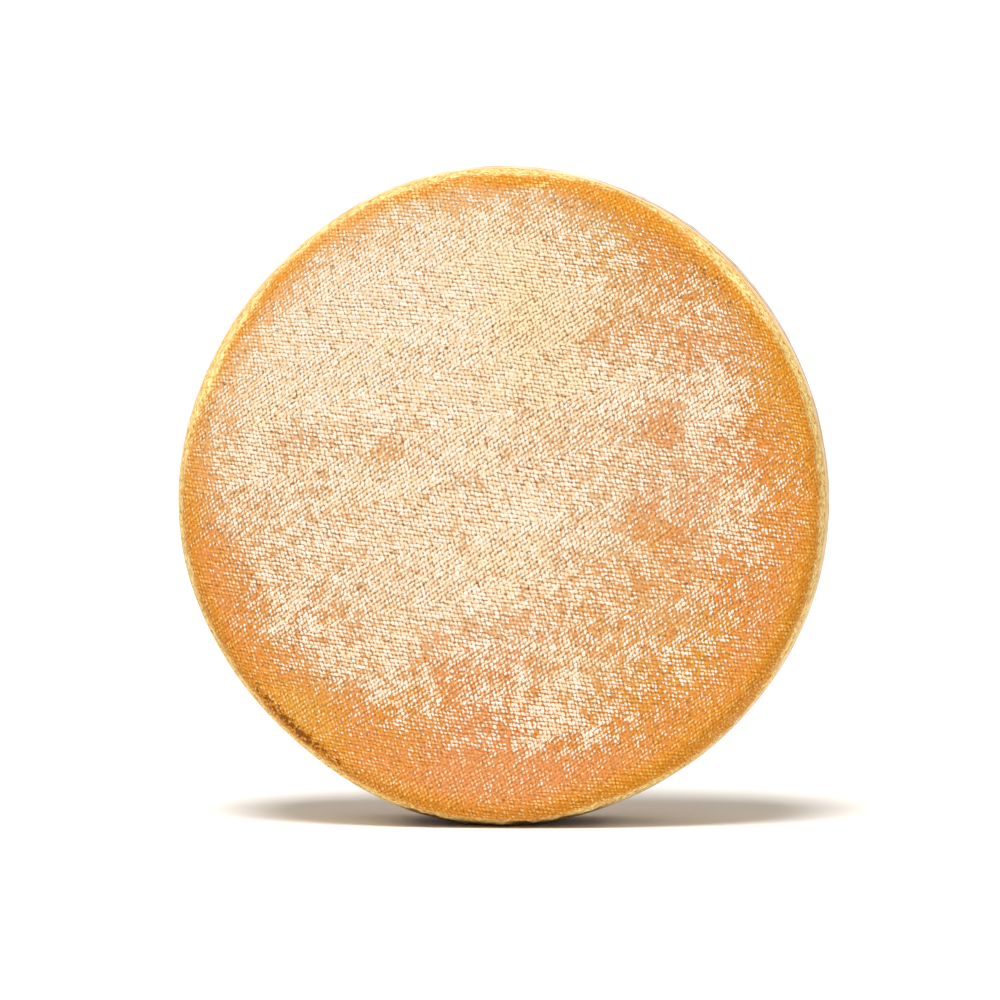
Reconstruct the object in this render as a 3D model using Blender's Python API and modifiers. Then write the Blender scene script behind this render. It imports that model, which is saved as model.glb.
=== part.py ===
"""Cheese wheel: one turned body with a bulged side, standing on its rim.

The wheel's axis lies along Y and its patterned face looks along -Y. The origin is on the
ground under the wheel's centre, +Z is up. A small flat at the foot is where the wheel's
own weight has pressed the rim, and it keeps the wheel from rolling.
"""
import math

import bmesh
import bpy

DIAMETER = 0.300          # across the fullest part of the side
THICKNESS = 0.075         # face to face
SIDE_BULGE = 0.0045       # how far the middle of the side stands out past its edges
CORNER_RADIUS = 0.0070    # rounding between a face and the side
SIDE_TILT_DEG = 20.0      # slope of the side where it meets the corner rounding
FOOT_DEPTH = 0.0009       # how deep the foot is pressed flat
TURN_STEPS = 120          # segments round the wheel
CORNER_STEPS = 4          # segments in each corner rounding
SIDE_STEPS = 12           # segments across the side

RADIUS = DIAMETER / 2
AXIS_HEIGHT = RADIUS - FOOT_DEPTH
RIND_COLOR = (0.79, 0.49, 0.20, 1.0)


def clear_scene():
    """Remove every object that is in the file before building."""
    for obj in list(bpy.data.objects):
        bpy.data.objects.remove(obj, do_unlink=True)


def new_collection(name):
    """A collection linked to the scene."""
    col = bpy.data.collections.new(name)
    bpy.context.scene.collection.children.link(col)
    return col


def rind_material():
    """Matt washed rind."""
    mat = bpy.data.materials.new("washed_rind")
    mat.use_nodes = True
    shader = mat.node_tree.nodes["Principled BSDF"]
    shader.inputs["Base Color"].default_value = RIND_COLOR
    shader.inputs["Roughness"].default_value = 0.75
    shader.inputs["Metallic"].default_value = 0.0
    return mat


def wheel_profile():
    """Half section as (radius, height along the axis), from the back face's centre
    round the side to the front face's centre. The side is a power curve whose slope at
    its ends matches the corner arcs."""
    half = THICKNESS / 2
    tilt = math.radians(SIDE_TILT_DEG)
    corner_y = half - CORNER_RADIUS
    side_half = corner_y + CORNER_RADIUS * math.sin(tilt)
    side_edge = RADIUS - SIDE_BULGE
    corner_x = side_edge - CORNER_RADIUS * math.cos(tilt)
    power = math.tan(tilt) * side_half / SIDE_BULGE

    corner = []
    for i in range(CORNER_STEPS + 1):
        angle = math.pi / 2 + (tilt - math.pi / 2) * i / CORNER_STEPS
        corner.append((corner_x + CORNER_RADIUS * math.cos(angle),
                       corner_y + CORNER_RADIUS * math.sin(angle)))
    side = []
    for i in range(1, SIDE_STEPS):
        y = side_half * (1 - 2 * i / SIDE_STEPS)
        side.append((side_edge + SIDE_BULGE * (1 - abs(y / side_half) ** power), y))
    far_corner = [(x, -y) for x, y in reversed(corner)]
    return [(0.0, half)] + corner + side + far_corner + [(0.0, -half)]


def turned(name, points, steps, collection):
    """Turn a half section about the Y axis into a closed body."""
    mesh = bpy.data.meshes.new(name)
    bm = bmesh.new()
    verts = [bm.verts.new((x, y, 0.0)) for x, y in points]
    for a, b in zip(verts, verts[1:]):
        bm.edges.new((a, b))
    bm.to_mesh(mesh)
    bm.free()
    obj = bpy.data.objects.new(name, mesh)
    collection.objects.link(obj)
    screw = obj.modifiers.new("turn", "SCREW")
    screw.axis = "Y"
    screw.angle = 2 * math.pi
    screw.steps = steps
    screw.render_steps = steps
    screw.use_merge_vertices = True
    screw.merge_threshold = 0.00001
    screw.use_smooth_shade = True
    return obj


def box(name, low, high, collection):
    """Axis-aligned box between two corners."""
    mesh = bpy.data.meshes.new(name)
    bm = bmesh.new()
    bmesh.ops.create_cube(bm, size=1.0)
    for v in bm.verts:
        v.co = [lo + (c + 0.5) * (hi - lo) for lo, hi, c in zip(low, high, v.co)]
    bm.to_mesh(mesh)
    bm.free()
    obj = bpy.data.objects.new(name, mesh)
    collection.objects.link(obj)
    return obj


def cut(target, cutter):
    """Take the cutter's volume out of the target."""
    mod = target.modifiers.new("cut_" + cutter.name, "BOOLEAN")
    mod.operation = "DIFFERENCE"
    mod.solver = "EXACT"
    mod.object = cutter
    cutter.hide_render = True
    cutter.display_type = "WIRE"


def build():
    clear_scene()
    parts = new_collection("cheese_wheel")
    cutters = new_collection("cutters")

    wheel = turned("wheel", wheel_profile(), TURN_STEPS, parts)
    wheel.location = (0.0, 0.0, AXIS_HEIGHT)
    wheel.data.materials.append(rind_material())

    ground = box("ground", (-RADIUS, -THICKNESS, -0.02), (RADIUS, THICKNESS, 0.0), cutters)
    cut(wheel, ground)


build()
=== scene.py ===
"""A washed-rind cheese wheel: its rind, the cloth it was pressed in, and the studio round it.

The wheel stands on its rim with its axis along Y. Everything is in metres, and every place
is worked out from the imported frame.
"""
import math

import bpy
import numpy as np
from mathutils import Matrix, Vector


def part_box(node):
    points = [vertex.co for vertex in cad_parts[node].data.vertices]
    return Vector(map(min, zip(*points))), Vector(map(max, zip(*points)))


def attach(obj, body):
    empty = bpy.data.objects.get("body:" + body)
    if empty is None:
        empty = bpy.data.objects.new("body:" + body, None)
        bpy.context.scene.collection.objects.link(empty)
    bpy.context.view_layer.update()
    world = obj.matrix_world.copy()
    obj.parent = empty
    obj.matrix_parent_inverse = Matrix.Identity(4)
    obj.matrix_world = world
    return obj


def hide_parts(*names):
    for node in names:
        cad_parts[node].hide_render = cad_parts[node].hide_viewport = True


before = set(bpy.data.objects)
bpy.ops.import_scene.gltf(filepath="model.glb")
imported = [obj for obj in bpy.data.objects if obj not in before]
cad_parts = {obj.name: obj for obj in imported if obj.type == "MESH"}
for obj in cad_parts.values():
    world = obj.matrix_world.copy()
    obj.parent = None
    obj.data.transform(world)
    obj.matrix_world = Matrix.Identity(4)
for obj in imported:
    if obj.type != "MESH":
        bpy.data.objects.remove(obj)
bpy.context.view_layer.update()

bl_info = {
    "name": "Washed-rind cheese wheel",
    "version": (1, 0, 0),
    "blender": (4, 5, 0),
    "location": "View3D > Sidebar > Cheese",
    "description": "Builds the rind of a cloth-pressed cheese wheel and the studio it stands in",
    "category": "Add Mesh",
}

MM = 0.001
LOW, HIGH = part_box("wheel")
RADIUS = (HIGH.x - LOW.x) / 2
HALF = (HIGH.y - LOW.y) / 2
AXIS_Z = HIGH.z - RADIUS
SEED = 41


# ---------------------------------------------------------------- settings

class WheelSizes(bpy.types.PropertyGroup):
    """Sizes of the rind and of the cloth pressed into it."""

    side_bulge: bpy.props.FloatProperty(
        name="Side bulge", default=4.5 * MM, unit="LENGTH",
        description="How far the middle of the side stands out past its edges")
    corner_radius: bpy.props.FloatProperty(
        name="Corner radius", default=7.0 * MM, unit="LENGTH",
        description="Rounding between a face and the side")
    side_tilt: bpy.props.FloatProperty(
        name="Side tilt", default=math.radians(20), subtype="ANGLE",
        description="Slope of the side where it meets the corner")
    out_of_round: bpy.props.FloatProperty(
        name="Out of round", default=1.1 * MM, unit="LENGTH",
        description="Scale of the slow waves in the outline, which reach about twice this")
    foot_press: bpy.props.FloatProperty(
        name="Foot press", default=0.9 * MM, unit="LENGTH",
        description="How far its own weight has pressed the lowest point flat")
    dish: bpy.props.FloatProperty(
        name="Dish", default=0.9 * MM, unit="LENGTH",
        description="How far the middle of a face has sunk")
    crumble: bpy.props.FloatProperty(
        name="Crumble", default=0.7 * MM, unit="LENGTH",
        description="How rough the corner is")
    weft_pitch: bpy.props.FloatProperty(
        name="Weft pitch", default=1.78 * MM, unit="LENGTH",
        description="Distance between neighbouring weft threads of the cloth")
    float_pitch: bpy.props.FloatProperty(
        name="Float pitch", default=2.10 * MM, unit="LENGTH",
        description="Distance between floats along one weft thread, three warp threads")
    stripe: bpy.props.FloatProperty(
        name="Herringbone stripe", default=25.3 * MM, unit="LENGTH",
        description="Width of one stripe of the herringbone")
    cloth_angle: bpy.props.FloatProperty(
        name="Cloth angle", default=math.radians(14.5), subtype="ANGLE",
        description="Direction of the stripes above the horizontal")
    press_depth: bpy.props.FloatProperty(
        name="Press depth", default=0.30 * MM, unit="LENGTH",
        description="How deep the threads are pressed into the rind")


class WheelColours(bpy.types.PropertyGroup):
    """Colours of the rind, as sRGB hex values."""

    orange: bpy.props.StringProperty(
        name="Orange", default="ca8238", description="Washed rind, its usual colour")
    ochre: bpy.props.StringProperty(
        name="Ochre", default="c88e38", description="Drier, yellower rind")
    salmon: bpy.props.StringProperty(
        name="Salmon", default="cc854f", description="Moist, pinker rind")
    peach: bpy.props.StringProperty(
        name="Peach", default="d4a26c", description="Paler skin at the upper left")
    # Peach groove is partly the grooves' own colour and partly painted shade of these recesses.
    peach_groove: bpy.props.StringProperty(
        name="Peach groove", default="b4793c", description="Grooves in the paler skin")
    ring: bpy.props.StringProperty(
        name="Ring", default="c68124", description="Strong orange just inside the corner")
    # Glow and ring glow are painted highlights: lighter colour on the tops of the raised floats.
    float_highlight: bpy.props.StringProperty(
        name="Glow", default="e2bb82", description="Thin skin over a raised float")
    ring_float_highlight: bpy.props.StringProperty(
        name="Ring glow", default="dfab48",
        description="Thin skin over a raised float near the corner")
    film: bpy.props.StringProperty(
        name="Film", default="cba981", description="Thin dried film in the middle of a face")
    bloom: bpy.props.StringProperty(
        name="Bloom", default="e1d6c6", description="Pale flour on the raised floats")
    dull_bloom: bpy.props.StringProperty(
        name="Dull bloom", default="d9c4a4", description="Pale flour where it is thin")
    ring_bloom: bpy.props.StringProperty(
        name="Ring bloom", default="ddb568", description="Damp flour near the corner")
    fat: bpy.props.StringProperty(
        name="Fat", default="dccba4", description="Yellowish smear of fat in the bloom")
    # Groove, pinhole, bare groove and ring groove are partly the grooves' own brown and partly
    # painted shade of these recesses.
    groove: bpy.props.StringProperty(
        name="Groove", default="a06c3c", description="Bottom of the grooves the threads left")
    # Film glow is a painted highlight: lighter colour on the tops of the raised floats under the
    # film.
    film_float_highlight: bpy.props.StringProperty(
        name="Film glow", default="d6ba90", description="Film stretched over a raised float")
    pinhole: bpy.props.StringProperty(
        name="Pinhole", default="5c4226", description="Deepest crossings of the grooves")
    bare_groove: bpy.props.StringProperty(
        name="Bare groove", default="8f5626", description="Grooves where the bloom is thin")
    ring_groove: bpy.props.StringProperty(
        name="Ring groove", default="9a560e", description="Moist groove near the corner")
    # The foot colour is painted shade: dark red-brown under the bottom edge, standing in for the
    # shadow where the wheel meets the floor.
    foot: bpy.props.StringProperty(
        name="Foot", default="64200a", description="Damp dark mark where the wheel stands")
    speck: bpy.props.StringProperty(
        name="Speck", default="5a3f2a", description="Pinholes in the rind")
    crust: bpy.props.StringProperty(
        name="Crust", default="d8b468", description="Dry granular corner")
    crust_deep: bpy.props.StringProperty(
        name="Crust, deep", default="c08c46", description="Moister crust between the crumbs")
    crust_dry: bpy.props.StringProperty(
        name="Crust, dry", default="ecdaa0", description="Driest crumbs")
    crumb_pit: bpy.props.StringProperty(
        name="Crumb pit", default="86551a", description="Pits between crumbs")
    stain: bpy.props.StringProperty(
        name="Stain", default="784208", description="Brown dirt caught inside the crust")
    side: bpy.props.StringProperty(
        name="Side", default="e5cfb4", description="Smooth side under the hoop")
    side_dark: bpy.props.StringProperty(
        name="Side, dark", default="d3ab82", description="Darker clouds of the side")
    side_pale: bpy.props.StringProperty(
        name="Side, pale", default="ecdfcc", description="Paler clouds of the side")
    ink: bpy.props.StringProperty(
        name="Ink", default="23263a", description="Food ink of the border on the side")


class StudioSettings(bpy.types.PropertyGroup):
    """Camera, light and floor."""

    distance: bpy.props.FloatProperty(
        name="Camera distance", default=2.5, unit="LENGTH",
        description="From the lens to the middle of the wheel")
    azimuth: bpy.props.FloatProperty(
        name="Camera azimuth", default=math.radians(3.3), subtype="ANGLE",
        description="How far the camera stands to the right of the wheel's axis")
    elevation: bpy.props.FloatProperty(
        name="Camera elevation", default=math.radians(2.1), subtype="ANGLE",
        description="How far the camera stands above the wheel's axis")
    frame_width: bpy.props.FloatProperty(
        name="Frame width", default=0.4615, unit="LENGTH",
        description="Width of the view at the wheel")
    look_at: bpy.props.FloatVectorProperty(
        name="Look at", default=(-2.6 * MM, 0.0, -0.3 * MM), subtype="TRANSLATION",
        description="Point in the middle of the view, measured from the middle of the CAD wheel")
    key_power: bpy.props.FloatProperty(
        name="Key light", default=3.95, description="Strength of the soft key light")
    key_spread: bpy.props.FloatProperty(
        name="Key spread", default=math.radians(28), subtype="ANGLE",
        description="How wide the key light looks from the wheel; wider is softer")
    key_direction: bpy.props.FloatVectorProperty(
        name="Key direction", default=(0.12, 0.64, -1.30), subtype="DIRECTION",
        description="Direction in which the key light shines")
    room_light: bpy.props.FloatProperty(
        name="Room light", default=0.53, description="Strength of the light from all round")
    room_colour: bpy.props.StringProperty(
        name="Room colour", default="fff8ee", description="Colour of the light from all round")
    backdrop_light: bpy.props.FloatProperty(
        name="Backdrop light", default=1.05, description="Brightness of the white backdrop")
    floor_colour: bpy.props.StringProperty(
        name="Floor colour", default="f6f5f3", description="White paper of the floor")


# ---------------------------------------------------------------- numbers

def smooth(low, high, x):
    """Smooth step: 0 on low's side, 1 on high's side, 3t^2 - 2t^3 between. Low may be the
    greater of the two."""
    t = np.clip((x - low) / (high - low), 0.0, 1.0)
    return t * t * (3.0 - 2.0 * t)


def value_noise(points, size, seed, octaves=3, side=32):
    """Smooth noise, about -1 to 1, at points (n, 3). Random values stand on a grid of cells
    `size` across and are blended with smooth steps along each axis; each further octave
    has half the cell and half the height."""
    rng = np.random.default_rng(seed)
    total = np.zeros(len(points))
    weight, reach = 1.0, 0.0
    for _ in range(octaves):
        table = rng.random((side, side, side)) * 2.0 - 1.0
        shift = rng.random(3) * side
        p = points / size + shift
        cell = np.floor(p).astype(int)
        t = p - cell
        t = t * t * (3.0 - 2.0 * t)
        near = cell % side
        far = (cell + 1) % side
        value = np.zeros(len(points))
        for corner in range(8):
            use = [(corner >> axis) & 1 for axis in range(3)]
            index = tuple(np.where(u, far[:, a], near[:, a]) for a, u in enumerate(use))
            share = np.prod([t[:, a] if u else 1.0 - t[:, a] for a, u in enumerate(use)], axis=0)
            value += table[index] * share
        total += value * weight
        reach += weight
        weight *= 0.5
        size *= 0.5
    return total / reach * 1.6


# ---------------------------------------------------------------- the wheel's surface

RIM_POINTS = 600          # points round the rim
DISC_RADIUS = 0.125       # radius of the square-grid part of each face
FACE_RINGS = 13           # rings from that disc to the corner
CORNER_RINGS = 13         # rings across a corner
SIDE_RINGS = 26           # rings across the side
UPPER_LEFT = math.radians(125)
BACK_TURN = 2.0           # how far the back's crust is turned against the front's, in radians
CRUST_FADE = 4.0 * MM     # over what width the crust thins out
CORNER_SLOPE = 0.25       # the crust begins to give way where |normal's y| is this
SIDE_SLOPE = 0.15         # and the smooth side is all there is where it is this
RING_REACH = 8.0 * MM     # how far in from the rim the orange ring is at full strength
DIRT_WIDTH = 2.6 * MM
LIP_INSIDE = 9.5 * MM     # how far inside the rim the raised lip of a face runs
LIP_WIDTH = 4.0 * MM
LIP_HEIGHT = 0.25 * MM
FACE_WAVE = (60 * MM, 0.45 * MM)      # size of the unevenness and how high it reaches
FACE_RIPPLE = (16 * MM, 0.12 * MM)
SIDE_WAVE = (45 * MM, 0.35 * MM)
CHIP = 10 * MM            # pieces broken out of the crust
LUMP = 4.5 * MM           # lumps of the crust


def section(sizes):
    """Half section of the wheel from the front disc's edge, over the front corner, along the
    side and the back corner, to the back disc's edge: arrays of radius, y, and the outward
    normal's radial and y parts. The faces are straight, the corners are arcs, and the side
    is the power curve edge + bulge (1 - |y / half|^n), whose slope at its ends is the
    corner arcs' slope."""
    tilt = sizes.side_tilt
    corner_y = HALF - sizes.corner_radius
    side_half = corner_y + sizes.corner_radius * math.sin(tilt)
    edge = RADIUS - sizes.side_bulge
    corner_r = edge - sizes.corner_radius * math.cos(tilt)
    power = math.tan(tilt) * side_half / sizes.side_bulge

    t = np.arange(FACE_RINGS) / FACE_RINGS
    face_r = DISC_RADIUS + (corner_r - DISC_RADIUS) * t
    face_y = np.full(FACE_RINGS, -HALF)

    angle = -math.pi / 2 + (math.pi / 2 - tilt) * np.arange(CORNER_RINGS) / (CORNER_RINGS - 1)
    arc_r = corner_r + sizes.corner_radius * np.cos(angle)
    arc_y = -corner_y + sizes.corner_radius * np.sin(angle)

    y = -side_half + 2 * side_half * np.arange(1, SIDE_RINGS) / SIDE_RINGS
    side_r = edge + sizes.side_bulge * (1 - np.abs(y / side_half) ** power)

    r = np.concatenate([face_r, arc_r, side_r, arc_r[::-1], face_r[::-1]])
    yy = np.concatenate([face_y, arc_y, y, -arc_y[::-1], -face_y[::-1]])
    along_r, along_y = np.gradient(r), np.gradient(yy)
    length = np.hypot(along_r, along_y)
    return r, yy, along_y / length, -along_r / length


def disc_grid(count):
    """A unit disc from a square grid of count x count cells. A grid point's ring is its
    distance from the centre in the square's own measure, max(|a|, |b|), and its angle runs
    evenly along that ring's square, so cells stay even and no pole is needed."""
    line = np.linspace(-1.0, 1.0, count + 1)
    a, b = np.meshgrid(line, line, indexing="ij")
    ring = np.maximum(np.abs(a), np.abs(b))
    safe = np.where(ring == 0, 1.0, ring)
    wide = np.abs(a) >= np.abs(b)
    angle = np.where(
        wide,
        np.where(a >= 0, 0.0, math.pi) + math.pi / 4 * b / safe * np.where(a >= 0, 1, -1),
        np.where(b >= 0, 0.5, 1.5) * math.pi - math.pi / 4 * a / safe * np.where(b >= 0, 1, -1))
    return ring * np.cos(angle), ring * np.sin(angle), ring, angle


def wheel_grid(sizes):
    """The undisturbed wheel: its vertices, their outward normals and its quads. The band
    between the two discs is a grid of rings by angles; each disc is a square grid whose
    outer cells share the band's first or last ring."""
    radius, y, normal_r, normal_y = section(sizes)
    rings = len(radius)
    theta = 2 * math.pi * np.arange(RIM_POINTS) / RIM_POINTS
    count = RIM_POINTS // 4

    band = np.stack(np.broadcast_arrays(
        radius[:, None] * np.cos(theta), y[:, None], radius[:, None] * np.sin(theta)), -1)
    normals = np.stack(np.broadcast_arrays(
        normal_r[:, None] * np.cos(theta), normal_y[:, None],
        normal_r[:, None] * np.sin(theta)), -1)
    points = [band.reshape(-1, 3)]
    outward = [normals.reshape(-1, 3)]

    index = np.arange(rings * RIM_POINTS).reshape(rings, RIM_POINTS)
    after = np.roll(index, -1, axis=1)
    quads = [np.stack([index[:-1], index[1:], after[1:], after[:-1]], -1).reshape(-1, 4)]

    dx, dz, ring, angle = disc_grid(count)
    inner = ring < 1.0 - 1e-9
    step = np.round(angle / (2 * math.pi) * RIM_POINTS).astype(int) % RIM_POINTS
    start = rings * RIM_POINTS
    for face, rim_ring in ((-1, 0), (1, rings - 1)):
        ids = np.empty(ring.shape, int)
        ids[inner] = start + np.arange(inner.sum())
        ids[~inner] = index[rim_ring][step[~inner]]
        points.append(np.stack([DISC_RADIUS * dx[inner], np.full(inner.sum(), face * HALF),
                                DISC_RADIUS * dz[inner]], -1))
        outward.append(np.tile([0.0, face, 0.0], (inner.sum(), 1)))
        quad = np.stack([ids[:-1, :-1], ids[1:, :-1], ids[1:, 1:], ids[:-1, 1:]], -1)
        quad = quad.reshape(-1, 4)
        quads.append(quad if face < 0 else quad[:, ::-1])
        start += inner.sum()
    return np.concatenate(points), np.concatenate(outward), np.concatenate(quads)


def outline_waves(angle):
    """Slow waves of the outline, from about -2 to 2: second to fifth harmonics of the
    angle, which make the wheel a little taller than wide and flat at the upper left. Each
    wave is its harmonic, its height and the turn of its first crest in degrees."""
    waves = ((2, 1.95, 174), (3, 0.95, -158), (4, 1.6, -9), (5, 0.9, -141))
    return sum(height * np.cos(harmonic * angle - math.radians(turn))
               for harmonic, height, turn in waves) / 2


def patch(x, z, at_x, at_z, wide, tall, turn=0.0):
    """Soft oval spot, 1 in its middle: a Gaussian in turned coordinates."""
    c, s = math.cos(math.radians(turn)), math.sin(math.radians(turn))
    a = (x - at_x) * c + (z - at_z) * s
    b = -(x - at_x) * s + (z - at_z) * c
    return np.exp(-((a / wide) ** 2 + (b / tall) ** 2))


def front_bloom(x, z):
    """Where the pale bloom lies on the front face, about 0 to 1, with x and z in wheel
    radii. It covers all but the rim, thickest at the upper left; soft spots make it barer
    where the rind was washed and thicker where it was left. Each spot is its x, z, width,
    height, turn in degrees and strength."""
    rho = np.hypot(x, z)
    angle = np.arctan2(z, x)
    lean = np.cos(angle - math.radians(115))
    bloom = 0.76 + 0.26 * lean * smooth(0.10, 0.60, rho)
    bloom *= 1.0 - smooth(0.70, 1.00, rho - 0.045 * lean)
    bare = (
        (0.49, 0.26, 0.09, 0.13, -10, 0.40), (0.49, -0.18, 0.13, 0.20, 10, 0.36),
        (-0.14, -0.64, 0.14, 0.06, 0, 0.25), (-0.58, 0.17, 0.22, 0.09, 5, 0.34),
        (0.42, 0.66, 0.22, 0.12, -40, 0.32), (0.58, 0.46, 0.10, 0.07, 0, 0.30),
        (-0.87, -0.32, 0.08, 0.25, 15, 0.30), (-0.36, 0.12, 0.06, 0.05, 0, 0.16),
        (0.62, 0.02, 0.08, 0.12, 0, 0.15), (-0.42, -0.75, 0.30, 0.08, -30, 0.25),
        (-0.05, -0.82, 0.55, 0.06, 0, 0.30), (0.32, 0.46, 0.14, 0.06, 20, 0.35),
        (0.06, -0.50, 0.08, 0.04, 0, 0.15), (-0.15, -0.42, 0.12, 0.06, 20, 0.22),
        (-0.56, -0.02, 0.20, 0.26, 0, 0.16), (0.78, 0.12, 0.08, 0.06, 0, 0.30),
    )
    for *spot, strength in bare:
        bloom -= strength * patch(x, z, *spot)
    thick = (
        (-0.50, 0.60, 0.30, 0.12, 40, 0.28), (-0.86, 0.12, 0.07, 0.14, 10, 0.24),
        (0.16, -0.68, 0.20, 0.13, 20, 0.36), (0.72, 0.32, 0.10, 0.09, 15, 0.38),
        (0.62, -0.42, 0.20, 0.10, 40, 0.24), (-0.64, -0.36, 0.12, 0.14, 30, 0.18),
        (0.30, -0.60, 0.16, 0.09, 20, 0.04), (0.76, -0.06, 0.08, 0.12, 0, 0.30),
        (-0.38, -0.58, 0.18, 0.08, -30, 0.16), (0.00, -0.76, 0.14, 0.06, 0, 0.08),
        (0.02, -0.60, 0.12, 0.06, 0, 0.20), (0.29, -0.42, 0.11, 0.20, 0, 0.22),
        (0.60, 0.60, 0.10, 0.07, -45, 0.22), (0.10, -0.89, 0.30, 0.05, 0, 0.30),
    )
    for *spot, strength in thick:
        bloom += strength * patch(x, z, *spot)
    return bloom


def back_bloom(x, z):
    """The bloom on the back face: the same kind of cover, reaching furthest low down."""
    rho = np.hypot(x, z)
    angle = np.arctan2(z, x)
    reach = 0.74 + 0.10 * np.cos(angle + math.radians(70)) + 0.05 * np.cos(3 * angle)
    bloom = 1.0 - smooth(-0.18, 0.18, rho - reach)
    bloom -= 0.5 * patch(x, z, -0.35, 0.42, 0.16, 0.10, 25)
    bloom -= 0.4 * patch(x, z, 0.52, 0.10, 0.10, 0.20, 10)
    bloom += 0.3 * patch(x, z, 0.12, -0.45, 0.25, 0.14, -20)
    return bloom


def near_angle(angle, middle, spread):
    """1 at the middle angle, fading round the wheel as a Gaussian of the spread, both in
    degrees."""
    off = (np.degrees(angle) - middle + 180) % 360 - 180
    return np.exp(-((off / spread) ** 2))


def crust_width(angle):
    """How far the dry crust reaches in from the rim, in metres: furthest at the upper right
    and the left, least at the lower right. Each hump is its middle and spread in degrees
    and its height in millimetres."""
    # The hump at -90 degrees widens the crust a little along the bottom edge: the crust's own
    # pale colour, put there partly as painted light for the bright, bounce-lit bottom rim.
    humps = ((44, 11, 1.8), (158, 14, 2.8), (70, 16, -1.6), (-40, 20, -2.0),
             (-131, 14, -0.4), (-90, 22, 0.2))
    width = 6.6 + sum(height * near_angle(angle, middle, spread)
                      for middle, spread, height in humps)
    return width * MM


def face_fields(base):
    """What the faces are like at each vertex, as a dict of arrays: bloom (pale cover), film
    (dried beige film), tone (ochre 0 to salmon 1), peach (paler skin at the upper left) and
    smear (yellowish fat)."""
    x, y, z = base.T
    front = y < 0
    unit_x, unit_z = x / RADIUS, z / RADIUS
    clumps = value_noise(base, 0.028, SEED + 1) * 0.18
    clumps += value_noise(base, 0.011, SEED + 2) * 0.18
    bloom = np.where(front, front_bloom(unit_x, unit_z), back_bloom(unit_x, unit_z)) + clumps
    film = 1.0 - smooth(0.50, 1.20, np.hypot((unit_x + 0.12) / 0.82, (unit_z - 0.20) / 0.84)
                        + 0.20 * value_noise(base, 0.040, SEED + 8))
    film *= smooth(-0.05, 0.60, bloom)

    tone = 0.38 + 0.24 * value_noise(base, 0.045, SEED + 3) - 0.10 * unit_z
    low = patch(unit_x, unit_z, 0.18, -0.84, 0.38, 0.10)
    left = patch(unit_x, unit_z, -0.80, -0.18, 0.12, 0.22)
    ochre_low = patch(unit_x, unit_z, -0.61, -0.68, 0.10, 0.06, -45)
    tone += np.where(front, 0.35 * low - 0.15 * left - 0.7 * ochre_low, 0.0)

    upper_left = np.cos(np.arctan2(z, x) - UPPER_LEFT)
    peach = smooth(0.40, 0.95, upper_left) * smooth(0.76, 0.88, np.hypot(x, z) / RADIUS)
    peach = np.where(front, peach, 0.0)

    smear = np.where(front, 0.7 * patch(unit_x, unit_z, 0.06, 0.62, 0.09, 0.20, -8)
                     + 0.5 * patch(unit_x, unit_z, 0.16, 0.50, 0.16, 0.14), 0.0)
    smear += 0.35 * smooth(0.20, 0.80, value_noise(base, 0.018, SEED + 9))
    return {"bloom": bloom, "film": film, "tone": tone, "peach": peach, "smear": smear}


def edge_fields(base, outward):
    """What the rim and the side are like at each vertex, as a dict of arrays: ring (strong
    orange inside the corner), crust (dry granular corner), side (smooth side), stain (brown
    dirt inside the crust), foot (painted shade: a dark mark under the bottom edge, standing
    in for the shadow where the wheel meets the floor) and ink (how much of the border's
    print is left)."""
    x, y, z = base.T
    rho = np.hypot(x, z)
    angle = np.arctan2(z, x)
    front = y < 0
    wander = value_noise(base, 0.020, SEED + 4) * 0.8 * MM
    inside = RADIUS - rho + wander
    ring_width = (4.6 + 1.6 * value_noise(base, 0.05, SEED + 5)
                  - 2.0 * np.cos(angle - UPPER_LEFT)) * MM
    ring = np.exp(-((np.maximum(inside - RING_REACH, 0.0) / ring_width) ** 2))
    ring *= 0.82 + 0.35 * value_noise(base, 0.06, SEED + 6)

    ragged = value_noise(base, 0.006, SEED + 7) * 0.03
    side = smooth(CORNER_SLOPE, SIDE_SLOPE, np.abs(outward[:, 1]) + ragged)
    width = crust_width(np.where(front, angle, angle + BACK_TURN))
    crust = smooth(width, width - CRUST_FADE, inside) * (1 - side)

    stain = np.zeros_like(angle)
    for middle, spread, in_from_rim, strength in (      # the first two are in degrees
            (-131, 11, 7.8 * MM, 1.0), (46, 12, 12.0 * MM, 0.3), (163, 9, 12.0 * MM, 0.2)):
        across = np.exp(-(((inside - in_from_rim) / DIRT_WIDTH) ** 2))
        stain += strength * near_angle(angle, middle, spread) * across
    stain = np.where(front, stain, 0.0)
    ink = 0.62 + 0.40 * value_noise(base, 0.045, SEED + 16)
    ink += 0.22 * near_angle(angle, 48, 28)
    # Painted shade: picks out the lowest stretch of the rim, under the bottom edge, for the foot
    # colour.
    under = np.degrees(np.abs(angle + math.pi / 2))
    foot = smooth(24.0, 12.0, under) * smooth(RADIUS - 3.0 * MM, RADIUS - 2.2 * MM, rho)
    return {"ring": ring, "crust": crust, "side": side, "stain": stain, "foot": foot,
            "ink": ink}


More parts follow.
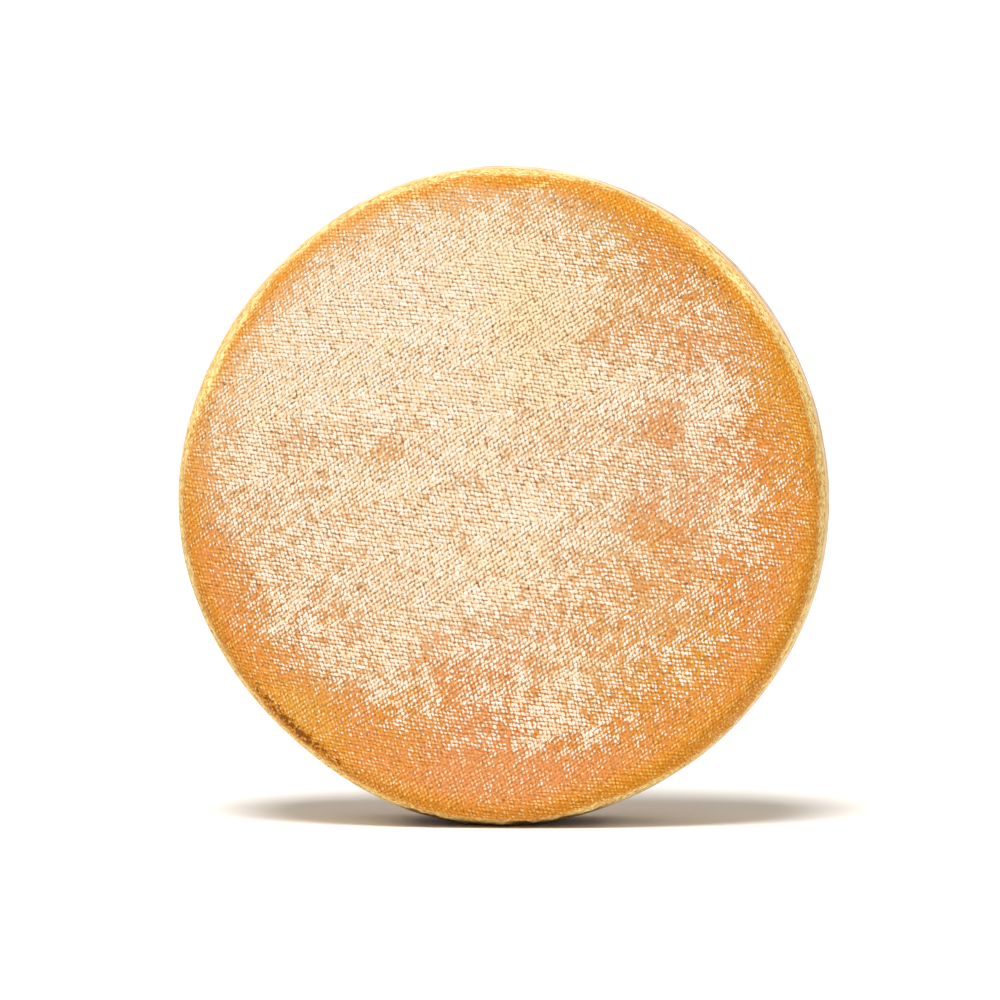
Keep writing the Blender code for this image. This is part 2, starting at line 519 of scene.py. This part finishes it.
def wheel_surface(sizes):
    """Vertices, quads and rind fields (from 0 to 1 at each vertex) of the finished wheel,
    and the smooth wheel's own vertices. The smooth wheel is pushed along its normals by the
    dish and the slow uneven waves of the faces, the low lip inside each corner, the waves of
    the side and the crumbs and chips of the crust. The outline's waves then stretch it, and
    it is let down on the ground until its lowest point has been pressed flat."""
    base, outward, quads = wheel_grid(sizes)
    fields = {name: np.clip(field, 0.0, 1.0)
              for name, field in (face_fields(base) | edge_fields(base, outward)).items()}
    x, _, z = base.T
    rho = np.hypot(x, z)
    angle = np.arctan2(z, x)
    flat = smooth(0.6, 1.0, np.abs(outward[:, 1]))

    push = -sizes.dish * flat * (1 - (rho / RADIUS) ** 2)
    for (size, height), place, seed, octaves in (
            (FACE_WAVE, flat, 10, 3), (FACE_RIPPLE, flat, 11, 2),
            (SIDE_WAVE, fields["side"], 12, 3)):
        push += place * value_noise(base, size, SEED + seed, octaves) * height
    chips = smooth(0.45, 0.95, value_noise(base, CHIP, SEED + 13, octaves=2))
    crumbs = value_noise(base, LUMP, SEED + 14, octaves=2) - 1.6 * chips
    push += fields["crust"] * crumbs * sizes.crumble
    lip = np.exp(-(((RADIUS - rho - LIP_INSIDE) / LIP_WIDTH) ** 2)) * flat
    push += lip * (1 + value_noise(base, 0.020, SEED + 15)) * LIP_HEIGHT

    moved = base + outward * push[:, None]
    swell = 1 + sizes.out_of_round * outline_waves(angle) * (rho / RADIUS) ** 2 / RADIUS
    moved[:, 0] *= swell
    moved[:, 2] *= swell
    moved[:, 2] -= moved[:, 2].min() + sizes.foot_press
    moved[:, 2] = np.maximum(moved[:, 2], 0.0)
    return moved, quads, fields, base


def cloth_coordinates(base, quads, sizes):
    """UV of every quad corner, in metres of cloth. On a face the cloth lies turned by the
    cloth angle and is drawn tighter towards the rim, r (1 + k r^2 + g (r - r0)^3), and slow
    waves bend its threads. On the side it is wrapped round: arc length and y."""
    tighten, gather, gathered_from = 3.26, 300.0, 0.115
    x, y, z = base.T
    rho = np.hypot(x, z)
    waves = [value_noise(base, 0.050, SEED + 20 + i, octaves=2) * 0.7 * MM for i in range(2)]
    grow = 1 + tighten * rho ** 2 + gather * np.maximum(rho - gathered_from, 0.0) ** 3
    c, s = math.cos(sizes.cloth_angle), math.sin(sizes.cloth_angle)
    facing = np.where(y < 0, 1.0, -1.0)
    along = (x * c * facing + z * s) * grow + waves[0]
    across = (-x * s * facing + z * c) * grow + waves[1]
    face_uv = np.stack([along, across], -1)[quads]

    arc = np.arctan2(z, x)[quads]
    arc = np.where(arc - arc[:, :1] > math.pi, arc - 2 * math.pi, arc)
    arc = np.where(arc - arc[:, :1] < -math.pi, arc + 2 * math.pi, arc)
    side_uv = np.stack([arc * RADIUS, y[quads]], -1)

    on_side = np.abs(y[quads]).max(1) < HALF - 0.5 * sizes.corner_radius
    return np.where(on_side[:, None, None], side_uv, face_uv)


def mesh_object(name, points, quads):
    """A smooth-shaded mesh object at the origin from vertex and quad arrays."""
    mesh = bpy.data.meshes.new(name)
    mesh.vertices.add(len(points))
    mesh.vertices.foreach_set("co", points.astype(np.float32).ravel())
    mesh.loops.add(quads.size)
    mesh.loops.foreach_set("vertex_index", quads.astype(np.int32).ravel())
    mesh.polygons.add(len(quads))
    mesh.polygons.foreach_set("loop_start", (np.arange(len(quads)) * 4).astype(np.int32))
    mesh.update(calc_edges=True)
    mesh.validate()
    mesh.shade_smooth()
    obj = bpy.data.objects.new(name, mesh)
    bpy.context.scene.collection.objects.link(obj)
    return obj


# ---------------------------------------------------------------- materials

THREAD_BEND = 2.6 * MM    # between one bend of a thread and the next
THREAD_SWAY = 1.8 * MM    # how far those bends may reach
GRAIN = 1.1 * MM          # grain of the dried smear, which breaks up the floats
CLUMP = 6.0 * MM          # clumps of bloom, a few floats across
MOTTLE = 3.0 * MM         # mottling of the skin's colour
CRUMB = 1.9 * MM          # crumbs of the crust
PORE_CELL = 15.0 * MM     # a block of paste this wide holds one pore
SIDE_CLOUD = 12.0 * MM    # clouds of the side's colour
SIDE_PORE = 1.5 * MM      # pits of the side
STREAK_LENGTH = 25.0 * MM
STREAK_WIDTH = 2.38 * MM
BORDER_REPEATS = 36       # lozenges round the side
LOZENGE_HALF_LENGTH = 10.0 * MM
LOZENGE_HALF_HEIGHT = 11.0 * MM
DOT_RADIUS = 2.6 * MM
BORDER_LINE = 15.0 * MM   # from the middle of the side to each line
BORDER_LINE_HALF_WIDTH = 1.0 * MM
INK_WEAR = 22.0 * MM      # patches where the ink has worn away


def linear(hex_colour):
    """An sRGB hex value as a linear colour with alpha."""
    parts = [int(hex_colour[i:i + 2], 16) / 255 for i in (0, 2, 4)]
    return [p / 12.92 if p <= 0.04045 else ((p + 0.055) / 1.055) ** 2.4 for p in parts] + [1.0]


def add(tree, kind, links=(), out=0, stops=(), **settings):
    """Add one node and return one of its outputs, by place or name. links are its inputs, in
    the order of its live sockets or by name, each a value or another node's output; stops
    are a ramp's positions and colours; the keywords are its properties."""
    node = tree.nodes.new("ShaderNode" + kind)
    for key, value in settings.items():
        setattr(node, key, value)
    if stops:
        ramp = node.color_ramp.elements
        ramp.remove(ramp[-1])
        ramp[0].position, ramp[0].color = stops[0]
        for position, colour in stops[1:]:
            ramp.new(position).color = colour
    live = [s for s in node.inputs if s.enabled]
    for key, value in links.items() if isinstance(links, dict) else enumerate(links):
        socket = live[key] if isinstance(key, int) else next(s for s in live if s.name == key)
        if isinstance(value, bpy.types.NodeSocket):
            tree.links.new(value, socket)
        else:
            socket.default_value = value
    shown = [s for s in node.outputs if s.enabled]
    return shown[out] if isinstance(out, int) else next(s for s in shown if s.name == out)


def new_material(name):
    """A material with a Principled shader: returns the material, its tree and the shader."""
    material = bpy.data.materials.new(name)
    material.use_nodes = True
    tree = material.node_tree
    return material, tree, tree.nodes["Principled BSDF"]


def float_lattice(tree, across, down, hand):
    """One hand of the herringbone. Floats stand on a sheared lattice: each weft thread's
    floats are a third of a repeat further along than its neighbour's, and chance shifts
    each a little. Returns the relief under the point, which is 0 where two grooves cross,
    about 0.5 in a groove and 0.7 to 1.6 on a float, and the float's own chance from 0 to
    1."""
    shifted = add(tree, "Math", (across, hand / 3, down), operation="MULTIPLY_ADD")
    column = add(tree, "Math", (across,), operation="ROUND")
    row = add(tree, "Math", (shifted,), operation="ROUND")
    cell = add(tree, "CombineXYZ", (column, row, 7.0 + hand))
    chances = add(tree, "TexWhiteNoise", (cell,), out="Color", noise_dimensions="3D")
    luck, luck_across, luck_down = add(tree, "SeparateColor", (chances,)).node.outputs

    humps = []
    for place, middle, chance in ((across, column, luck_across), (shifted, row, luck_down)):
        off = add(tree, "Math", (place, middle), operation="SUBTRACT")
        shoved = add(tree, "Math", (chance, 0.26, off), operation="MULTIPLY_ADD")
        turn = add(tree, "Math", (shoved, math.pi, -0.13 * math.pi), operation="MULTIPLY_ADD")
        humps.append(add(tree, "Math", (turn,), operation="COSINE"))
    weft = add(tree, "Math", (humps[0], 0.46), operation="MULTIPLY")
    threads = add(tree, "Math", (humps[1], 0.54, weft), operation="MULTIPLY_ADD")
    window = add(tree, "Math", humps, operation="MULTIPLY")
    proud = add(tree, "Math", (luck, 0.90, -0.30), operation="MULTIPLY_ADD")
    return add(tree, "Math", (window, proud, threads), operation="MULTIPLY_ADD"), luck


def cloth_lattice(tree, place, uv, sizes):
    """Relief and chance of the floats the cloth left, both hands of the twill together. The
    cloth coordinates are counted in threads, each thread wanders by a part of its width,
    and the hand changes at each stripe, over about half a float."""
    wander = add(tree, "TexNoise", (place, 1 / THREAD_BEND, 2.0), out="Color")
    cloth = add(tree, "VectorMath", (wander, [THREAD_SWAY] * 3, uv), operation="MULTIPLY_ADD")
    along, over, _ = add(tree, "SeparateXYZ", (cloth,)).node.outputs
    across = add(tree, "Math", (along, sizes.weft_pitch), operation="DIVIDE")
    down = add(tree, "Math", (over, sizes.float_pitch), operation="DIVIDE")
    turn = add(tree, "Math", (over, math.pi / sizes.stripe), operation="MULTIPLY")
    wave = add(tree, "Math", (turn,), operation="COSINE")
    hand = add(tree, "Math", (wave, 8.0, 0.5), operation="MULTIPLY_ADD", use_clamp=True)
    right, right_luck = float_lattice(tree, across, down, 1)
    left, left_luck = float_lattice(tree, across, down, -1)
    return (add(tree, "Mix", (hand, left, right), data_type="FLOAT"),
            add(tree, "Mix", (hand, left_luck, right_luck), data_type="FLOAT"))


def bloom_cover(tree, field, clump, relief):
    """How pale a point is with bloom, 0 to 1. Bloom lies on the floats that stand highest,
    more of them inside a clump, and hardly reaches into the grooves. Where the film is, the
    clumps count for less, so that the cover is more even."""
    swing = add(tree, "MapRange", (field["film"], 0.0, 1.0, 2.3, 1.2))
    cover = add(tree, "Math", (clump, swing, field["bloom"]), operation="MULTIPLY_ADD")
    even = add(tree, "Math", (field["film"], 0.22, cover), operation="MULTIPLY_ADD")
    lifted = add(tree, "Math", (even, 0.95, relief), operation="MULTIPLY_ADD")
    pale = add(tree, "MapRange", (lifted, 1.24, 1.62), interpolation_type="SMOOTHSTEP")
    clear = add(tree, "MapRange", (relief, 0.28, 0.66, 0.30, 1.0),
                interpolation_type="SMOOTHSTEP")
    return add(tree, "Math", (pale, clear), operation="MULTIPLY")


def bare_skin(tree, place, field, colours):
    """Colour of the skin under the bloom: ochre, orange or salmon, then the beige film over
    the middle, the peach of the upper left and the ring inside the corner."""
    mottle = add(tree, "TexNoise", (place, 1 / MOTTLE, 4.0, 0.65))
    warm = add(tree, "Math", (mottle, 1.1, -0.15), operation="MULTIPLY_ADD")
    warm = add(tree, "Math", (warm, field["tone"]), operation="ADD")
    skin = add(tree, "ValToRGB", (warm,), stops=(
        (0.45, linear(colours.ochre)), (0.70, linear(colours.orange)),
        (0.95, linear(colours.salmon))))
    veil = add(tree, "MapRange", (mottle, 0.70, 0.35, 0.30, 0.82),
               interpolation_type="SMOOTHSTEP")
    beige = add(tree, "Math", (field["film"], veil), operation="MULTIPLY")
    for share, colour in ((beige, colours.film), (field["peach"], colours.peach),
                          (field["ring"], colours.ring)):
        skin = add(tree, "Mix", (share, skin, linear(colour)), data_type="RGBA")
    return skin


def grooved_skin(tree, field, skin, grain, clump, relief, colours):
    """The skin with brown grooves and grain pits and dark pinholes where two grooves cross
    under the film; the darkening of grooves and pinholes is partly their own brown and partly
    painted shade of these recesses. The tops of the raised floats are made lighter: a painted
    highlight."""
    # Partly painted shade: grooves and pinholes darken with the depth of the relief, over their
    # own brown.
    groove = add(tree, "MapRange", (relief, 0.60, 0.02), interpolation_type="SMOOTHSTEP")
    dirt = add(tree, "MapRange", (clump, -0.15, 0.15, 0.90, 0.45),
               interpolation_type="SMOOTHSTEP")
    trench = linear(colours.bare_groove)
    for share, colour in ((field["film"], colours.groove), (field["peach"], colours.peach_groove),
                          (field["ring"], colours.ring_groove)):
        trench = add(tree, "Mix", (share, trench, linear(colour)), data_type="RGBA")
    groove_dirt_and_shade = add(tree, "Math", (groove, dirt), operation="MULTIPLY")
    skin = add(tree, "Mix", (groove_dirt_and_shade, skin, trench), data_type="RGBA")
    pitted = add(tree, "MapRange", (grain, 0.02, -0.16, 0.0, 0.42))
    skin = add(tree, "Mix", (pitted, skin, trench), data_type="RGBA")
    pinhole = add(tree, "MapRange", (relief, 0.22, -0.04, 0.0, 0.80),
                  interpolation_type="SMOOTHSTEP")
    pinhole = add(tree, "Math", (pinhole, field["film"]), operation="MULTIPLY")
    skin = add(tree, "Mix", (pinhole, skin, linear(colours.pinhole)), data_type="RGBA")
    # Painted highlight: the higher a float stands, the more it takes the lighter glow colour.
    float_highlight = linear(colours.float_highlight)
    for share, colour in ((field["ring"], colours.ring_float_highlight), (field["film"], colours.film_float_highlight)):
        float_highlight = add(tree, "Mix", (share, float_highlight, linear(colour)), data_type="RGBA")
    float_highlight_share = add(tree, "MapRange", (relief, 0.78, 1.30, 0.0, 0.80),
                    interpolation_type="SMOOTHSTEP")
    return add(tree, "Mix", (float_highlight_share, skin, float_highlight), data_type="RGBA")


def face_skin(tree, place, field, skin, pale, luck, colours):
    """The skin under its bloom, whose flour is whiter on some floats than on others, fatty
    in the smears and damp near the corner. Specks are dark pores about 0.6 mm in radius,
    some five centimetres apart."""
    thick = add(tree, "MapRange", (luck, 0.2, 0.95), interpolation_type="SMOOTHSTEP")
    flour = linear(colours.dull_bloom)
    for share, colour in ((thick, colours.bloom), (field["smear"], colours.fat),
                          (field["ring"], colours.ring_bloom)):
        flour = add(tree, "Mix", (share, flour, linear(colour)), data_type="RGBA")
    face = add(tree, "Mix", (pale, skin, flour), data_type="RGBA")
    pores = add(tree, "TexVoronoi", {"Vector": place, "Scale": 1 / PORE_CELL}, feature="F1")
    speck = add(tree, "MapRange", (pores, 0.056, 0.030, 0.0, 0.75),
                interpolation_type="SMOOTHSTEP")
    return add(tree, "Mix", (speck, face, linear(colours.speck)), data_type="RGBA")


def crusted(tree, field, face, crumb, broken, colours):
    """The face with the dry corner over it: crumbs a millimetre or two across, with brown
    dirt caught inside it. Returns the colour and where the crust is."""
    aged = add(tree, "Math", (field["crust"], 0.10, crumb), operation="MULTIPLY_ADD")
    crusty = add(tree, "ValToRGB", (aged,), stops=(
        (0.37, linear(colours.crumb_pit)), (0.48, linear(colours.crust_deep)),
        (0.57, linear(colours.crust)), (0.69, linear(colours.crust_dry))))
    reach = add(tree, "Math", (broken, 0.8, field["crust"]), operation="MULTIPLY_ADD")
    edge = add(tree, "MapRange", (reach, 0.12, 0.75), interpolation_type="SMOOTHSTEP")
    gritty = add(tree, "Math", (broken, 1.5), operation="MULTIPLY")
    caught = add(tree, "Math", (field["stain"], 0.50, gritty), operation="MULTIPLY_ADD")
    foul = add(tree, "MapRange", (caught, 0.22, 0.46, 0.0, 0.95),
               interpolation_type="SMOOTHSTEP")
    rind = add(tree, "Mix", (foul, face, linear(colours.stain)), data_type="RGBA")
    return add(tree, "Mix", (edge, rind, crusty), data_type="RGBA"), edge


def rind_material(sizes, colours):
    """Washed rind: moist orange smear-ripened skin, pressed in herringbone cotton. The eye
    gets rows of small pale floats, with painted highlights on their tops, and brown grooves
    between them darkened partly by painted shade, merging into cream in the middle and
    thinning to bare orange at the rim; a dry crumbly yellow corner; and a smooth peach side
    with a worn ink border."""
    material, tree, shader = new_material("cloth_pressed_washed_rind")
    place = add(tree, "TexCoord", out="Object")
    uv = add(tree, "UVMap", uv_map="cloth")
    field = {name: add(tree, "Attribute", out="Fac", attribute_name=name)
             for name in ("bloom", "film", "tone", "peach", "ring", "crust", "side", "smear",
                          "stain", "foot")}

    grain = add(tree, "TexNoise", (place, 1 / GRAIN, 3.0, 0.6))
    grain = add(tree, "Math", (grain, 0.5), operation="SUBTRACT")
    clump = add(tree, "TexNoise", (place, 1 / CLUMP, 3.0, 0.6))
    clump = add(tree, "Math", (clump, 0.5), operation="SUBTRACT")
    crumb = add(tree, "TexNoise", (place, 1 / CRUMB, 4.0, 0.70))
    broken = add(tree, "Math", (crumb, 1.6, -0.8), operation="MULTIPLY_ADD")

    lattice, luck = cloth_lattice(tree, place, uv, sizes)
    relief = add(tree, "Math", (grain, 1.3, lattice), operation="MULTIPLY_ADD")
    pale = bloom_cover(tree, field, clump, relief)
    skin = bare_skin(tree, place, field, colours)
    skin = grooved_skin(tree, field, skin, grain, clump, relief, colours)
    face = face_skin(tree, place, field, skin, pale, luck, colours)
    rind, edge = crusted(tree, field, face, crumb, broken, colours)

    flank = add(tree, "Math", (broken, 0.4, field["side"]), operation="MULTIPLY_ADD")
    flank = add(tree, "MapRange", (flank, 0.30, 0.70), interpolation_type="SMOOTHSTEP")
    side_colour, pit = side_skin(tree, place, uv, colours)
    colour = add(tree, "Mix", (flank, rind, side_colour), data_type="RGBA")
    # Painted shade under the bottom edge: the foot colour darkens the rim where the wheel meets
    # the floor.
    damp_foot = add(tree, "Math", (broken, 0.5, field["foot"]), operation="MULTIPLY_ADD")
    damp_foot = add(tree, "MapRange", (damp_foot, 0.30, 0.75, 0.0, 0.7),
                    interpolation_type="SMOOTHSTEP")
    colour = add(tree, "Mix", (damp_foot, colour, linear(colours.foot)), data_type="RGBA")
    tree.links.new(colour, shader.inputs["Base Color"])

    # Relief: floats on the faces, crumbs on the corner, pits and streaks on the side.
    floats = add(tree, "Math", (relief, 0.8), operation="MULTIPLY")
    floats = add(tree, "Math", (pale, 0.35, floats), operation="MULTIPLY_ADD")
    crumbs = add(tree, "Math", (crumb, 2.2), operation="MULTIPLY")
    height = add(tree, "Mix", (edge, floats, crumbs), data_type="FLOAT")
    height = add(tree, "Mix", (flank, height, pit), data_type="FLOAT")
    bump = add(tree, "Bump", {"Strength": 1.0, "Distance": sizes.press_depth, "Height": height})
    tree.links.new(bump, shader.inputs["Normal"])
    damp = add(tree, "MapRange", (pale, 0.0, 1.0, 0.58, 0.86))
    roughness = add(tree, "Mix", (flank, damp, 0.62), data_type="FLOAT")
    tree.links.new(roughness, shader.inputs["Roughness"])
    shader.inputs["Specular IOR Level"].default_value = 0.05
    return material


def side_skin(tree, place, uv, colours):
    """Colour and relief of the side: peach skin, cloudy and streaked along the hoop and
    yellowed towards the corners, under a border of lozenges and dots between two lines,
    printed in ink that has partly worn away. With a the distance along the arc from the
    middle of a repeat, a lozenge is |a| / half its length + |y| / half its height < 1, a dot
    is a disc between two lozenges, and the lines run along |y| = BORDER_LINE."""
    cloud = add(tree, "TexNoise", (place, 1 / SIDE_CLOUD, 5.0, 0.6))
    drawn = add(tree, "VectorMath", (uv, [1 / STREAK_LENGTH, 1 / STREAK_WIDTH, 1.0]),
                operation="MULTIPLY")
    streak = add(tree, "TexNoise", (drawn, 1.0, 3.0), noise_dimensions="2D")
    shade = add(tree, "Math", (streak, 0.4, cloud), operation="MULTIPLY_ADD")
    skin = add(tree, "ValToRGB", (shade,), stops=(
        (0.52, linear(colours.side_dark)), (0.70, linear(colours.side)),
        (0.86, linear(colours.side_pale))))

    arc, y, _ = add(tree, "SeparateXYZ", (uv,)).node.outputs
    half_repeat = math.pi * RADIUS / BORDER_REPEATS
    turns = add(tree, "Math", (arc, 0.5 / half_repeat), operation="MULTIPLY")
    part = add(tree, "Math", (turns,), operation="FRACT")
    along = add(tree, "Math", (part, 2 * half_repeat, -half_repeat), operation="MULTIPLY_ADD")
    along = add(tree, "Math", (along,), operation="ABSOLUTE")
    up = add(tree, "Math", (y,), operation="ABSOLUTE")
    yellowed = add(tree, "MapRange", (up, BORDER_LINE, 26.0 * MM, 0.0, 0.85),
                   interpolation_type="SMOOTHSTEP")
    skin = add(tree, "Mix", (yellowed, skin, linear(colours.crust)), data_type="RGBA")
    tall = add(tree, "Math", (up, LOZENGE_HALF_HEIGHT), operation="DIVIDE")
    spread = add(tree, "Math", (along, 1 / LOZENGE_HALF_LENGTH, tall),
                 operation="MULTIPLY_ADD")
    lozenge = add(tree, "MapRange", (spread, 1.04, 0.94))
    beside = add(tree, "Math", (along, half_repeat), operation="SUBTRACT")
    from_dot = add(tree, "CombineXYZ", (beside, up, 0.0))
    from_dot = add(tree, "VectorMath", (from_dot,), out="Value", operation="LENGTH")
    dot = add(tree, "MapRange", (from_dot, DOT_RADIUS + 0.2 * MM, DOT_RADIUS - 0.2 * MM))
    line = add(tree, "Math", (up, BORDER_LINE, BORDER_LINE_HALF_WIDTH), operation="COMPARE")
    marks = add(tree, "Math", (lozenge, dot), operation="MAXIMUM")
    marks = add(tree, "Math", (marks, line), operation="MAXIMUM")
    rubbed = add(tree, "TexNoise", (place, 1 / INK_WEAR, 6.0, 0.7))
    ink_left = add(tree, "Attribute", out="Fac", attribute_name="ink")
    ink_left = add(tree, "Math", (rubbed, ink_left), operation="ADD")
    kept = add(tree, "MapRange", (ink_left, 0.98, 1.34, 0.12, 0.85),
               interpolation_type="SMOOTHSTEP")
    inked = add(tree, "Math", (marks, kept), operation="MULTIPLY")
    skin = add(tree, "Mix", (inked, skin, linear(colours.ink)), data_type="RGBA")
    pores = add(tree, "TexNoise", (place, 1 / SIDE_PORE, 3.0, 0.6))
    return skin, add(tree, "Math", (streak, 0.6, pores), operation="MULTIPLY_ADD")


def floor_material(colour):
    """White paper: matt and even, so that it reads as an empty studio floor."""
    material, tree, shader = new_material("white_paper_floor")
    place = add(tree, "TexCoord", out="Object")
    fibre = add(tree, "TexNoise", (place, 1 / (2 * MM), 2.0))
    bump = add(tree, "Bump", {"Strength": 0.05, "Distance": 0.05 * MM, "Height": fibre})
    tree.links.new(bump, shader.inputs["Normal"])
    shader.inputs["Base Color"].default_value = linear(colour)
    shader.inputs["Roughness"].default_value = 0.9
    shader.inputs["Specular IOR Level"].default_value = 0.1
    return material


# ---------------------------------------------------------------- operators

FLOOR_REACH = 30.0        # metres from the middle of the floor to its edges
SENSOR = 36.0             # width of the camera's sensor, in millimetres as Blender wants it


class CheeseWheelOperator(bpy.types.Operator):
    """Build the wheel's rind round its CAD body."""

    bl_idname = "cheese.wheel"
    bl_label = "Cheese wheel"

    def execute(self, context):
        sizes, colours = context.scene.wheel_sizes, context.scene.wheel_colours
        points, quads, fields, base = wheel_surface(sizes)
        wheel = mesh_object("cheese_wheel", points, quads)
        for name, field in fields.items():
            layer = wheel.data.attributes.new(name, "FLOAT", "POINT")
            layer.data.foreach_set("value", field.astype(np.float32))
        cloth = wheel.data.uv_layers.new(name="cloth")
        uv = cloth_coordinates(base, quads, sizes)
        cloth.data.foreach_set("uv", uv.astype(np.float32).ravel())
        wheel.data.materials.append(rind_material(sizes, colours))
        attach(wheel, "root")
        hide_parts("wheel")
        return {"FINISHED"}


class StudioOperator(bpy.types.Operator):
    """Set up the floor, the lights and the camera."""

    bl_idname = "cheese.studio"
    bl_label = "Studio"

    def execute(self, context):
        studio = context.scene.studio_settings
        scene = context.scene
        scene.view_settings.view_transform = "Standard"

        corners = FLOOR_REACH * np.array([[-1, -1, 0], [1, -1, 0], [1, 1, 0], [-1, 1, 0]])
        floor = mesh_object("floor", corners, np.array([[0, 1, 2, 3]]))
        floor.data.materials.append(floor_material(studio.floor_colour))

        world = bpy.data.worlds.new("white_room")
        world.use_nodes = True
        tree = world.node_tree
        seen = add(tree, "LightPath", out="Is Camera Ray")
        strength = add(tree, "Mix", (seen, studio.room_light, studio.backdrop_light),
                       data_type="FLOAT")
        colour = add(tree, "Mix", (seen, linear(studio.room_colour), linear("ffffff")),
                     data_type="RGBA")
        back = tree.nodes["Background"]
        tree.links.new(colour, back.inputs["Color"])
        tree.links.new(strength, back.inputs["Strength"])
        scene.world = world

        key = bpy.data.lights.new("key", "SUN")
        key.energy = studio.key_power
        key.angle = studio.key_spread
        key_light = bpy.data.objects.new("key", key)
        aim = Vector(studio.key_direction)
        key_light.rotation_mode = "QUATERNION"
        key_light.rotation_quaternion = aim.to_track_quat("-Z", "Y")
        key_light.location = -aim
        scene.collection.objects.link(key_light)

        lens = bpy.data.cameras.new("camera")
        lens.sensor_width = SENSOR
        lens.lens = SENSOR * studio.distance / studio.frame_width
        camera = bpy.data.objects.new("camera", lens)
        away = Vector((math.sin(studio.azimuth) * math.cos(studio.elevation),
                       -math.cos(studio.azimuth) * math.cos(studio.elevation),
                       math.sin(studio.elevation)))
        middle = Vector((0, 0, AXIS_Z)) + Vector(studio.look_at)
        camera.location = middle + away * studio.distance
        camera.rotation_mode = "QUATERNION"
        camera.rotation_quaternion = (-away).to_track_quat("-Z", "Y")
        scene.collection.objects.link(camera)
        scene.camera = camera
        return {"FINISHED"}


class CheesePanel(bpy.types.Panel):
    """Lists the steps and their settings."""

    bl_idname = "VIEW3D_PT_cheese"
    bl_label = "Cheese wheel"
    bl_space_type = "VIEW_3D"
    bl_region_type = "UI"
    bl_category = "Cheese"

    def draw(self, context):
        for group in ("wheel_sizes", "wheel_colours", "studio_settings"):
            settings = getattr(context.scene, group)
            box = self.layout.box()
            for name in settings.__annotations__:
                box.prop(settings, name)
        for operator in (CheeseWheelOperator, StudioOperator):
            self.layout.operator(operator.bl_idname)


CLASSES = (WheelSizes, WheelColours, StudioSettings, CheeseWheelOperator, StudioOperator,
           CheesePanel)


def register():
    """Register the classes and hang their settings on the scene."""
    for item in CLASSES:
        bpy.utils.register_class(item)
    bpy.types.Scene.wheel_sizes = bpy.props.PointerProperty(type=WheelSizes)
    bpy.types.Scene.wheel_colours = bpy.props.PointerProperty(type=WheelColours)
    bpy.types.Scene.studio_settings = bpy.props.PointerProperty(type=StudioSettings)


def unregister():
    """Undo what register did."""
    del bpy.types.Scene.studio_settings
    del bpy.types.Scene.wheel_colours
    del bpy.types.Scene.wheel_sizes
    for item in reversed(CLASSES):
        bpy.utils.unregister_class(item)


def main():
    """Build the wheel and its studio."""
    register()
    bpy.ops.cheese.wheel()
    bpy.ops.cheese.studio()


if __name__ == "__main__":
    main()
